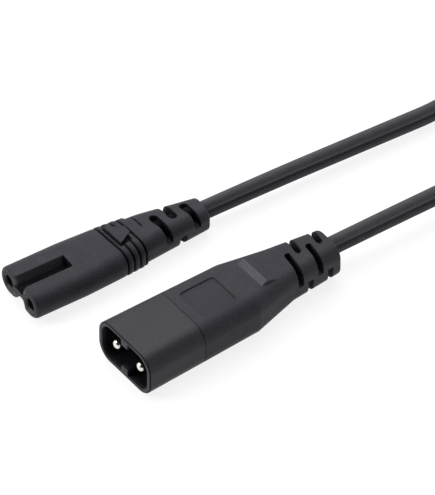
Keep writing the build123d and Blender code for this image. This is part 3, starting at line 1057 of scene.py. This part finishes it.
@dataclass
class FlatCord:
    """Flat twin cord on its edge, from the connector round one loose loop to the plug."""

    lobe: float = 2.5
    lobe_spacing: float = 2.7
    web: float = 1.1
    lobe_points: int = 30
    step: float = 0.6
    spline_order: int = 3
    spline_steps: int = 24
    route: tuple[Point, ...] = (
        (19.77, 28.65, 3.95),
        (48.50, 26.64, 3.95),
        (74.68, 24.43, 3.51),
        (105.55, 21.82, 3.0),
        (130.45, 40.22, 2.6),
        (149.65, 41.22, 2.6),
        (166.05, 30.22, 2.6),
        (172.45, 11.82, 2.6),
        (166.85, -6.98, 2.6),
        (151.25, -19.08, 2.6),
        (131.85, -19.78, 2.6),
        (106.65, -1.48, 5.0),
        (62.34, 0.12, 5.8),
        (34.35, 1.0, 5.8),
    )

    def centreline(self) -> Grid:
        """Points read from a smooth spline along the route, evenly spaced by length.

        Returns:
            The points, in metres.
        """
        curve = bpy.data.curves.new("cord_route", "CURVE")
        curve.dimensions = "3D"
        spline = curve.splines.new("NURBS")
        spline.points.add(len(self.route) - 1)
        places = np.column_stack([np.array(self.route) * MM, np.ones(len(self.route))])
        spline.points.foreach_set("co", places.astype(np.float32).ravel())
        spline.order_u = self.spline_order
        spline.use_endpoint_u = True
        spline.resolution_u = self.spline_steps
        guide = bpy.data.objects.new("cord_route", curve)
        bpy.context.scene.collection.objects.link(guide)
        lines = bpy.data.meshes.new_from_object(guide)
        points = np.empty(3 * len(lines.vertices), dtype=np.float32)
        lines.vertices.foreach_get("co", points)
        bpy.data.meshes.remove(lines)
        bpy.data.objects.remove(guide)
        bpy.data.curves.remove(curve)
        points = points.reshape(-1, 3).astype(float)
        travel = travelled(points)
        even = np.linspace(0.0, travel[-1], math.ceil(travel[-1] / (self.step * MM)) + 1)
        return np.column_stack([np.interp(even, travel, points[:, axis]) for axis in range(3)])

    def section(self) -> tuple[Grid, Grid]:
        """Figure-eight outline: two arcs, one above the other, that stop where they meet the web.

        Returns:
            Sizes sideways and up, in millimetres.
        """
        radius = self.lobe / 2
        dip = math.acos(self.web / self.lobe)
        turn = np.linspace(-dip, math.pi + dip, self.lobe_points)
        sideways = radius * np.concatenate([np.cos(turn), np.cos(turn + math.pi)])
        lift = self.lobe_spacing / 2
        up = np.concatenate([lift + radius * np.sin(turn), -lift + radius * np.sin(turn + math.pi)])
        return sideways, up

    def build(self) -> bpy.types.Object:
        """Each point is the centreline plus its size sideways, level and square to the line, and its
        size up, square to both.

        Returns:
            The piece, which stands for its CAD node.
        """
        centre = self.centreline()
        tangent = np.gradient(centre, axis=0)
        tangent /= np.linalg.norm(tangent, axis=1, keepdims=True)
        sideways = np.cross([0.0, 0.0, 1.0], tangent)
        sideways /= np.linalg.norm(sideways, axis=1, keepdims=True)
        raised = np.cross(tangent, sideways)
        offset, height = (size * MM for size in self.section())
        aside = sideways[:, None] * offset[None, :, None]
        points = centre[:, None] + aside + raised[:, None] * height[None, :, None]
        around = travelled(np.column_stack([offset, height]))
        travel = travelled(centre)
        uv = np.stack(np.broadcast_arrays(around[None, :], travel[:, None]), axis=-1)
        ends = np.broadcast_to(centre[[0, -1], None], (2, *points.shape[1:]))
        points = np.concatenate([ends[:1], points, ends[1:]])
        uv = np.concatenate([uv[:1], uv, uv[-1:]])
        piece = finished("flat_cord", [Patch(points, uv=uv)], Finish.CORD, "cord")
        return piece


def finished(name: str, patches: list[Patch], finish: Finish, *nodes: str) -> bpy.types.Object:
    """Make a piece, dress it and let it stand for its CAD nodes.

    Args:
        name: Name of the piece.
        patches: Its grids.
        finish: Its material slot.
        nodes: CAD nodes that it stands for.

    Returns:
        The piece.
    """
    piece = mesh_object(name, patches)
    piece.data.materials.append(material_of(finish))
    if any(patch.recess is not None for patch in patches):
        # The painted-shade copy, with less shine, for faces deep in a recess.
        piece.data.materials.append(material_of(finish, shaded_copy=True))
    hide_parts(*nodes)
    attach(piece, BODY)
    return piece


class Board:
    """Shader node tree with short calls to add and join nodes."""

    def __init__(self, tree: bpy.types.NodeTree) -> None:
        """Start on an empty tree."""
        self.tree = tree
        tree.nodes.clear()

    def add(self, kind: str, **settings: object) -> bpy.types.Node:
        """Add a node and set its own properties.

        Args:
            kind: Type of the node.
            settings: Values of its properties by name.

        Returns:
            The node.
        """
        node = self.tree.nodes.new(kind)
        for name, value in settings.items():
            setattr(node, name, value)
        return node

    def feed(self, targets: Iterable[bpy.types.NodeSocket], *values: object) -> None:
        """Join inputs to sockets, or set them to values.

        Args:
            targets: The inputs.
            values: A socket or a value for each of them.
        """
        for target, value in zip(targets, values):
            if isinstance(value, bpy.types.NodeSocket):
                self.tree.links.new(value, target)
            else:
                target.default_value = value

    def put(self, node: bpy.types.Node, **values: object) -> bpy.types.Node:
        """Feed a node's inputs by name.

        Args:
            node: The node.
            values: A socket or a value by input name, a space in a name written as an underscore.

        Returns:
            The node.
        """
        self.feed((node.inputs[name.replace("_", " ")] for name in values), *values.values())
        return node

    def noise(self, place: object, scale: object, detail: float) -> bpy.types.NodeSocket:
        """Noise value at a place."""
        node = self.put(self.add("ShaderNodeTexNoise"), Vector=place, Scale=scale, Detail=detail)
        return node.outputs["Fac"]

    def maths(self, operation: str, first: object, second: object) -> bpy.types.NodeSocket:
        """Result of an operation on two values or sockets.

        Args:
            operation: Name of the operation.
            first: First value or socket.
            second: Second value or socket.

        Returns:
            The socket of the result.
        """
        node = self.add("ShaderNodeMath", operation=operation)
        self.feed(node.inputs, first, second)
        return node.outputs[0]

    def ramp(self, value: object, low: Pair, high: Pair) -> bpy.types.NodeSocket:
        """Value carried straight from one range to another.

        Args:
            value: The value or socket.
            low: Range that it comes from.
            high: Range that it goes to.

        Returns:
            The socket of the result.
        """
        node = self.add("ShaderNodeMapRange")
        self.put(node, Value=value, From_Min=low[0], From_Max=low[1])
        self.put(node, To_Min=high[0], To_Max=high[1])
        return node.outputs["Result"]

    def mix(self, share: object, low: object, high: object) -> bpy.types.NodeSocket:
        """Colour a share of the way from low to high.

        Args:
            share: The share.
            low: Colour at a share of 0.
            high: Colour at a share of 1.

        Returns:
            The socket of the result.
        """
        node = self.add("ShaderNodeMix", data_type="RGBA")
        self.feed((node.inputs[index] for index in MIX_INPUTS), share, low, high)
        return node.outputs[MIX_RESULT]


def new_group(name: str, inputs: dict[str, str]) -> tuple[Board, dict[str, bpy.types.NodeSocket]]:
    """Shader node group without nodes, which puts out a skin's colour, roughness and height.

    Args:
        name: Name of the group.
        inputs: Socket types by input name.

    Returns:
        The group's board, and what goes into the group, by name.
    """
    tree = bpy.data.node_groups.new(name, "ShaderNodeTree")
    for way, sockets in (("INPUT", inputs), ("OUTPUT", SKIN)):
        for label, kind in sockets.items():
            tree.interface.new_socket(label, in_out=way, socket_type=kind)
    board = Board(tree)
    given = board.add("NodeGroupInput").outputs
    return board, {label: given[label] for label in inputs}


@cache
def moulded_grain() -> bpy.types.NodeTree:
    """Group for a spark-eroded mould's skin, pits and mottling, plus painted shade and light.

    Returns:
        The group, made once.
    """
    board, given = new_group("moulded_grain", {
        "Place": VECTOR, "Grain": VALUE, "Colour": COLOUR, "Pale": COLOUR, "Deep": COLOUR,
        "Smooth": COLOUR, "Roughness": VALUE,
    })
    place, grain = given["Place"], given["Grain"]
    pits = board.noise(place, grain, FINE)
    blotches = board.noise(place, board.maths("MULTIPLY", grain, BLOTCH_SCALE), MEDIUM)
    drift = board.noise(place, board.maths("MULTIPLY", grain, DRIFT_SCALE), COARSE)
    pitted = board.ramp(pits, PIT_RANGE, (0.0, 1.0))
    tone = board.maths("MULTIPLY", pitted, board.ramp(blotches, NOISE_RANGE, BLOTCH_SHARE))
    painted_light_and_polish, recess = (
        board.add("ShaderNodeAttribute", attribute_name=label).outputs["Fac"]
        for label in ("painted_light_and_polish", "recess")
    )
    skin = board.mix(tone, given["Colour"], given["Pale"])
    # Painted shade and light: the recess value darkens the skin towards a painted shade colour, and
    # the polish value lightens it towards a paler painted light colour.
    colour = board.mix(recess, board.mix(painted_light_and_polish, skin, given["Smooth"]), given["Deep"])
    rough = board.maths("ADD", given["Roughness"], board.ramp(drift, NOISE_RANGE, DRIFT_ROUGHNESS))
    rough = board.maths("ADD", rough, board.maths("MULTIPLY", recess, RECESS_ROUGHNESS))
    rough = board.maths("SUBTRACT", rough, board.maths("MULTIPLY", painted_light_and_polish, POLISH_SMOOTHNESS))
    board.put(board.add("NodeGroupOutput"), Colour=colour, Roughness=rough, Height=pits)
    return board.tree


@cache
def drawn_lines() -> bpy.types.NodeTree:
    """Group for drawn or turned metal: fine lines round the piece, small stains and scuffs.

    Returns:
        The group, made once.
    """
    board, given = new_group("drawn_lines", {
        "Place": VECTOR, "Colour": COLOUR, "Stain": COLOUR, "Roughness": VALUE,
    })
    drawn = board.put(board.add("ShaderNodeMapping"), Vector=given["Place"], Scale=LINE_SCALE)
    lines = board.noise(drawn.outputs["Vector"], 1.0, MEDIUM)
    stains = board.noise(given["Place"], STAIN_SCALE, FINE)
    stained = board.ramp(stains, STAIN_RANGE, STAIN_SHARE)
    colour = board.mix(stained, given["Colour"], given["Stain"])
    scuffs = board.ramp(lines, NOISE_RANGE, SCUFF_ROUGHNESS)
    rough = board.maths("ADD", given["Roughness"], scuffs)
    board.put(board.add("NodeGroupOutput"), Colour=colour, Roughness=rough, Height=lines)
    return board.tree


def opaque(colour: Colour) -> tuple[float, ...]:
    """A colour with an alpha of 1."""
    return (*colour, 1.0)


def dressed(
    finish: Finish, effect: bpy.types.NodeTree, settings: dict[str, object], depth: float,
    look: dict[str, object], stretch: Point | None = None,
) -> bpy.types.Material:
    """Material whose colour, roughness and bump come from an effect group.

    Args:
        finish: Slot that the material is named after.
        effect: The group.
        settings: Inputs of the group by name.
        depth: Depth of its relief, in millimetres.
        look: Other inputs of the shader by name.
        stretch: Scale of the piece's own UV map, or nothing for its place in the row frame.

    Returns:
        The material.
    """
    material = bpy.data.materials.new(finish.value)
    material.use_nodes = True
    board = Board(material.node_tree)
    place = board.add("ShaderNodeTexCoord").outputs["UV" if stretch else "Object"]
    if stretch:
        drawn = board.put(board.add("ShaderNodeMapping"), Vector=place, Scale=stretch)
        place = drawn.outputs["Vector"]
    skin = board.add("ShaderNodeGroup", node_tree=effect)
    board.put(skin, Place=place, **settings)
    bump = board.add("ShaderNodeBump")
    board.put(bump, Height=skin.outputs["Height"], Strength=1.0, Distance=depth * MM)
    shader = board.add("ShaderNodeBsdfPrincipled")
    board.put(
        shader, Base_Color=skin.outputs["Colour"], Roughness=skin.outputs["Roughness"],
        Normal=bump.outputs["Normal"], **look,
    )
    board.put(board.add("ShaderNodeOutputMaterial"), Surface=shader.outputs["BSDF"])
    return material


@dataclass(frozen=True)
class Moulded:
    """Moulded or extruded plastic with a fine grain."""

    finish: Finish
    colour: Colour
    pale: Colour
    deep: Colour
    roughness: float
    grain_size: float
    grain_depth: float
    specular: float
    along_cord: bool = False
    # Paler colour painted on the groove walls and the finger stop's front slope: painted light.
    smooth: Colour = (0.060, 0.0555, 0.071)

    def build(self) -> bpy.types.Material:
        """Make the material: the grain group feeds colour, roughness and a bump.

        Returns:
            The material.
        """
        settings = {
            "Grain": 1.0 / (self.grain_size * MM), "Roughness": self.roughness,
            "Colour": opaque(self.colour), "Pale": opaque(self.pale),
            "Deep": opaque(self.deep), "Smooth": opaque(self.smooth),
        }
        look = {"Specular_IOR_Level": self.specular}
        stretch = CORD_GRAIN if self.along_cord else None
        return dressed(self.finish, moulded_grain(), settings, self.grain_depth, look, stretch)


@dataclass(frozen=True)
class Metal:
    """Drawn, turned or stamped metal."""

    finish: Finish
    colour: Colour
    stain: Colour
    roughness: float
    line_depth: float

    def build(self) -> bpy.types.Material:
        """Make the material: the lines group feeds colour, roughness and a bump.

        Returns:
            The material.
        """
        settings = {
            "Colour": opaque(self.colour), "Stain": opaque(self.stain), "Roughness": self.roughness,
        }
        return dressed(self.finish, drawn_lines(), settings, self.line_depth, {"Metallic": 1.0})


# Moulded finishes give the colour, the pale mottling colour, then the dark colour painted in shade.
FINISHES: tuple[Moulded | Metal, ...] = (
    Moulded(
        Finish.BODY, (0.010, 0.009, 0.015), (0.037, 0.035, 0.051), (0.003, 0.003, 0.004),
        roughness=0.55, grain_size=0.24, grain_depth=0.08, specular=0.28,
    ),
    Moulded(
        Finish.SHROUD, (0.013, 0.012, 0.018), (0.026, 0.024, 0.035), (0.008, 0.007, 0.011),
        roughness=0.48, grain_size=0.28, grain_depth=0.04, specular=0.28,
    ),
    Moulded(
        Finish.CARRIER, (0.014, 0.013, 0.017), (0.024, 0.023, 0.028), (0.006, 0.006, 0.008),
        roughness=0.5, grain_size=0.2, grain_depth=0.01, specular=0.3,
    ),
    Moulded(
        Finish.CORD, (0.093, 0.090, 0.102), (0.129, 0.125, 0.142), (0.02, 0.02, 0.023),
        roughness=0.8, grain_size=0.3, grain_depth=0.02, specular=0.08, along_cord=True,
    ),
    Moulded(
        Finish.CORE_BROWN, (0.16, 0.07, 0.035), (0.2, 0.1, 0.05), (0.1, 0.04, 0.02),
        roughness=0.45, grain_size=0.3, grain_depth=0.008, specular=0.5,
    ),
    Moulded(
        Finish.CORE_BLUE, (0.03, 0.1, 0.35), (0.05, 0.14, 0.42), (0.02, 0.06, 0.2),
        roughness=0.45, grain_size=0.3, grain_depth=0.008, specular=0.5,
    ),
    Metal(Finish.PIN, (0.78, 0.76, 0.72), (0.55, 0.52, 0.47), roughness=0.2, line_depth=0.002),
    Metal(Finish.CONTACT, (0.68, 0.5, 0.22), (0.4, 0.28, 0.12), roughness=0.3, line_depth=0.002),
    Metal(Finish.CONDUCTOR, (0.72, 0.38, 0.2), (0.45, 0.2, 0.1), roughness=0.3, line_depth=0.002),
)

CAD_FINISHES: dict[str, Finish] = {
    "contact_carrier": Finish.CARRIER,
    "contact_sleeve_far": Finish.CONTACT,
    "contact_sleeve_near": Finish.CONTACT,
    **{f"{end}_core_far": Finish.CORE_BROWN for end in ENDS},
    **{f"{end}_core_near": Finish.CORE_BLUE for end in ENDS},
    **{
        f"{end}_conductor_{side.name.lower()}": Finish.CONDUCTOR
        for end in ENDS for side in Side
    },
}


@cache
def material_of(finish: Finish, shaded_copy: bool = False) -> bpy.types.Material:
    """Material of a finish, made the first time that it is asked for.

    Args:
        finish: The finish.
        shaded_copy: Whether it is the copy that shines less: painted shade for faces deep in a
            recess.

    Returns:
        The material.
    """
    recipe = next(entry for entry in FINISHES if entry.finish is finish)
    if shaded_copy:
        recipe = replace(recipe, specular=recipe.specular * SHADED_COPY_SPECULAR)
    return recipe.build()


def dress_cad_nodes() -> None:
    """Give the inner CAD nodes that stay shown their materials."""
    for node, finish in CAD_FINISHES.items():
        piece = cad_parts[node]
        piece.data.materials.clear()
        piece.data.materials.append(material_of(finish))


def grey(tone: float) -> tuple[float, ...]:
    """Neutral colour of a tone."""
    return opaque((tone, tone, tone))


@dataclass
class Lamp:
    """Square area lamp aimed at a point, both in metres."""

    name: str
    place: Point
    size: float
    power: float
    target: Point = (0.03, 0.015, 0.0)

    def build(self) -> None:
        """Add the lamp."""
        light = bpy.data.lights.new(self.name, "AREA")
        light.shape = "SQUARE"
        light.size = self.size
        light.energy = self.power
        lamp = bpy.data.objects.new(self.name, light)
        lamp.location = self.place
        lamp.rotation_mode = "QUATERNION"
        aim = Vector(self.target) - Vector(self.place)
        lamp.rotation_quaternion = aim.to_track_quat("-Z", "Y")
        bpy.context.scene.collection.objects.link(lamp)


@dataclass
class Studio:
    """White floor, soft light and a camera at the photograph's angle."""

    azimuth: float = -36.8
    elevation: float = 44.5
    pixels_per_mm: float = 4.63
    image_height: int = 495
    image_width: int = 435
    anchor: Point = (-7.65, 0.0, 5.4)
    anchor_pixel: Pair = (124.2, 358.5)
    distance: float = 3.0
    sensor: float = 36.0
    clip: Pair = (0.1, 200.0)
    floor_half: float = 40.0
    floor_glow: float = 0.84
    floor_light: float = 0.54
    floor_tone: float = 0.28
    sky_light: float = 0.28
    wall_azimuth: float = -60.0
    wall_setback: float = 0.3
    wall_half: float = 3.8
    wall_tone: float = 0.03
    lamps: tuple[Lamp, ...] = field(default_factory=lambda: (
        Lamp("overhead_softbox", (0.3, 0.4, 0.95), size=1.1, power=9.0),
        Lamp("front_softbox", (-0.8, 0.6, 0.55), size=0.6, power=7.0),
    ))

    def directions(self, azimuth: float) -> tuple[Vector, Vector, Vector]:
        """Right, up and back of something that looks at the object from an azimuth.

        Back is the direction of the azimuth raised by the elevation, right is level, and up is
        square to both.

        Args:
            azimuth: Azimuth that it looks from, in degrees.

        Returns:
            The three unit directions.
        """
        turn = math.radians(azimuth)
        elevation = math.radians(self.elevation)
        level = math.cos(elevation)
        back = Vector((math.sin(turn) * level, -math.cos(turn) * level, math.sin(elevation)))
        right = Vector((math.cos(turn), math.sin(turn), 0.0))
        return right, back.cross(right), back

    def looking(self, azimuth: float, distance: float) -> Matrix:
        """Place of something that looks at the middle of the picture.

        The middle is the anchor plus its distance from its pixel, right and up in the picture.

        Args:
            azimuth: Azimuth that it looks from, in degrees.
            distance: Distance that it looks from, in metres.

        Returns:
            The place, as a matrix.
        """
        right, up, _ = self.directions(self.azimuth)
        aside = (self.image_width / 2 - self.anchor_pixel[0]) / self.pixels_per_mm
        above = (self.anchor_pixel[1] - self.image_height / 2) / self.pixels_per_mm
        target = (Vector(self.anchor) + right * aside + up * above) * MM
        axes = self.directions(azimuth)
        return Matrix.Translation(target + axes[2] * distance) @ Matrix(axes).transposed().to_4x4()

    def add_camera(self) -> None:
        """Aim the camera so that the anchor falls on its pixel at the photograph's scale."""
        camera = bpy.data.cameras.new("photo_camera")
        camera.sensor_width = self.sensor
        camera.lens = self.sensor * self.distance / (self.image_height / self.pixels_per_mm * MM)
        camera.clip_start, camera.clip_end = self.clip
        holder = bpy.data.objects.new("photo_camera", camera)
        holder.matrix_world = self.looking(self.azimuth, self.distance)
        bpy.context.scene.collection.objects.link(holder)
        bpy.context.scene.camera = holder

    @staticmethod
    def add_square(name: str, half: float, place: Matrix) -> tuple[bpy.types.Object, Board]:
        """Stand or lay a square on the stage.

        Args:
            name: Name of the square and its material.
            half: Half of its side, in metres.
            place: Place of its middle.

        Returns:
            The square, and the board of its material, which is still empty.
        """
        corners = half * np.array([(-1, -1, 0), (1, -1, 0), (1, 1, 0), (-1, 1, 0)])
        mesh = bpy.data.meshes.new(name)
        mesh.from_pydata(corners.tolist(), [], [(0, 1, 2, 3)])
        mesh.transform(place)
        material = bpy.data.materials.new(name)
        material.use_nodes = True
        mesh.materials.append(material)
        square = bpy.data.objects.new(name, mesh)
        bpy.context.scene.collection.objects.link(square)
        return square, Board(material.node_tree)

    def add_wall(self) -> None:
        """Stand a dark wall behind the camera, which only reflections and soft light meet."""
        place = self.looking(self.wall_azimuth, self.distance + self.wall_setback)
        wall, board = self.add_square("dark_wall", self.wall_half, place)
        wall.visible_camera = False
        paint = board.put(board.add("ShaderNodeBsdfDiffuse"), Color=grey(self.wall_tone))
        board.put(board.add("ShaderNodeOutputMaterial"), Surface=paint.outputs[0])

    @staticmethod
    def by_sight(
        board: Board, shown: bpy.types.Node, thrown: bpy.types.Node,
    ) -> bpy.types.NodeSocket:
        """Choose between two shaders by the kind of ray.

        Args:
            board: Tree that both are on.
            shown: Shader that the camera, reflections and clear things show.
            thrown: Shader that lights the object.

        Returns:
            The socket of the choice.
        """
        rays = board.add("ShaderNodeLightPath").outputs
        seen = board.maths("MAXIMUM", rays["Is Camera Ray"], rays["Is Transmission Ray"])
        seen = board.maths("MAXIMUM", seen, rays["Is Glossy Ray"])
        either = board.add("ShaderNodeMixShader")
        board.feed(either.inputs, seen, thrown.outputs[0], shown.outputs[0])
        return either.outputs[0]

    def add_floor(self) -> None:
        """Lay the floor: part of its white glows and part takes light, so a soft shadow stays."""
        _, board = self.add_square("floor", self.floor_half, Matrix())
        lit = board.put(board.add("ShaderNodeBsdfDiffuse"), Color=grey(self.floor_tone))
        glow = [
            board.put(board.add("ShaderNodeEmission"), Color=grey(1.0), Strength=strength)
            for strength in (self.floor_glow, self.floor_light)
        ]
        both = board.add("ShaderNodeAddShader")
        board.feed(both.inputs, lit.outputs[0], self.by_sight(board, *glow))
        board.put(board.add("ShaderNodeOutputMaterial"), Surface=both.outputs[0])

    def add_world(self) -> None:
        """Set white behind all that the camera or a reflection sees, and a level sky light."""
        world = bpy.data.worlds.new("studio")
        world.use_nodes = True
        board = Board(world.node_tree)
        skies = [
            board.put(board.add("ShaderNodeBackground"), Color=grey(1.0), Strength=strength)
            for strength in (1.0, self.sky_light)
        ]
        board.put(board.add("ShaderNodeOutputWorld"), Surface=self.by_sight(board, *skies))
        bpy.context.scene.world = world

    def build(self) -> None:
        """Set the stage."""
        self.add_floor()
        self.add_world()
        for lamp in self.lamps:
            lamp.build()
        self.add_camera()
        self.add_wall()
        bpy.context.scene.view_settings.view_transform = "Standard"


def main() -> None:
    """Build every piece in order and set the stage."""
    logging.basicConfig(level=logging.INFO, format="%(name)s: %(message)s")
    makers = (Connector(), PlugBody(), PinShroud(), *(PlugPin(side) for side in Side), FlatCord())
    for maker in makers:
        piece = maker.build()
        log.info("%s: %d faces", piece.name, len(piece.data.polygons))
    dress_cad_nodes()
    Studio().build()


if __name__ == "__main__":
    main()
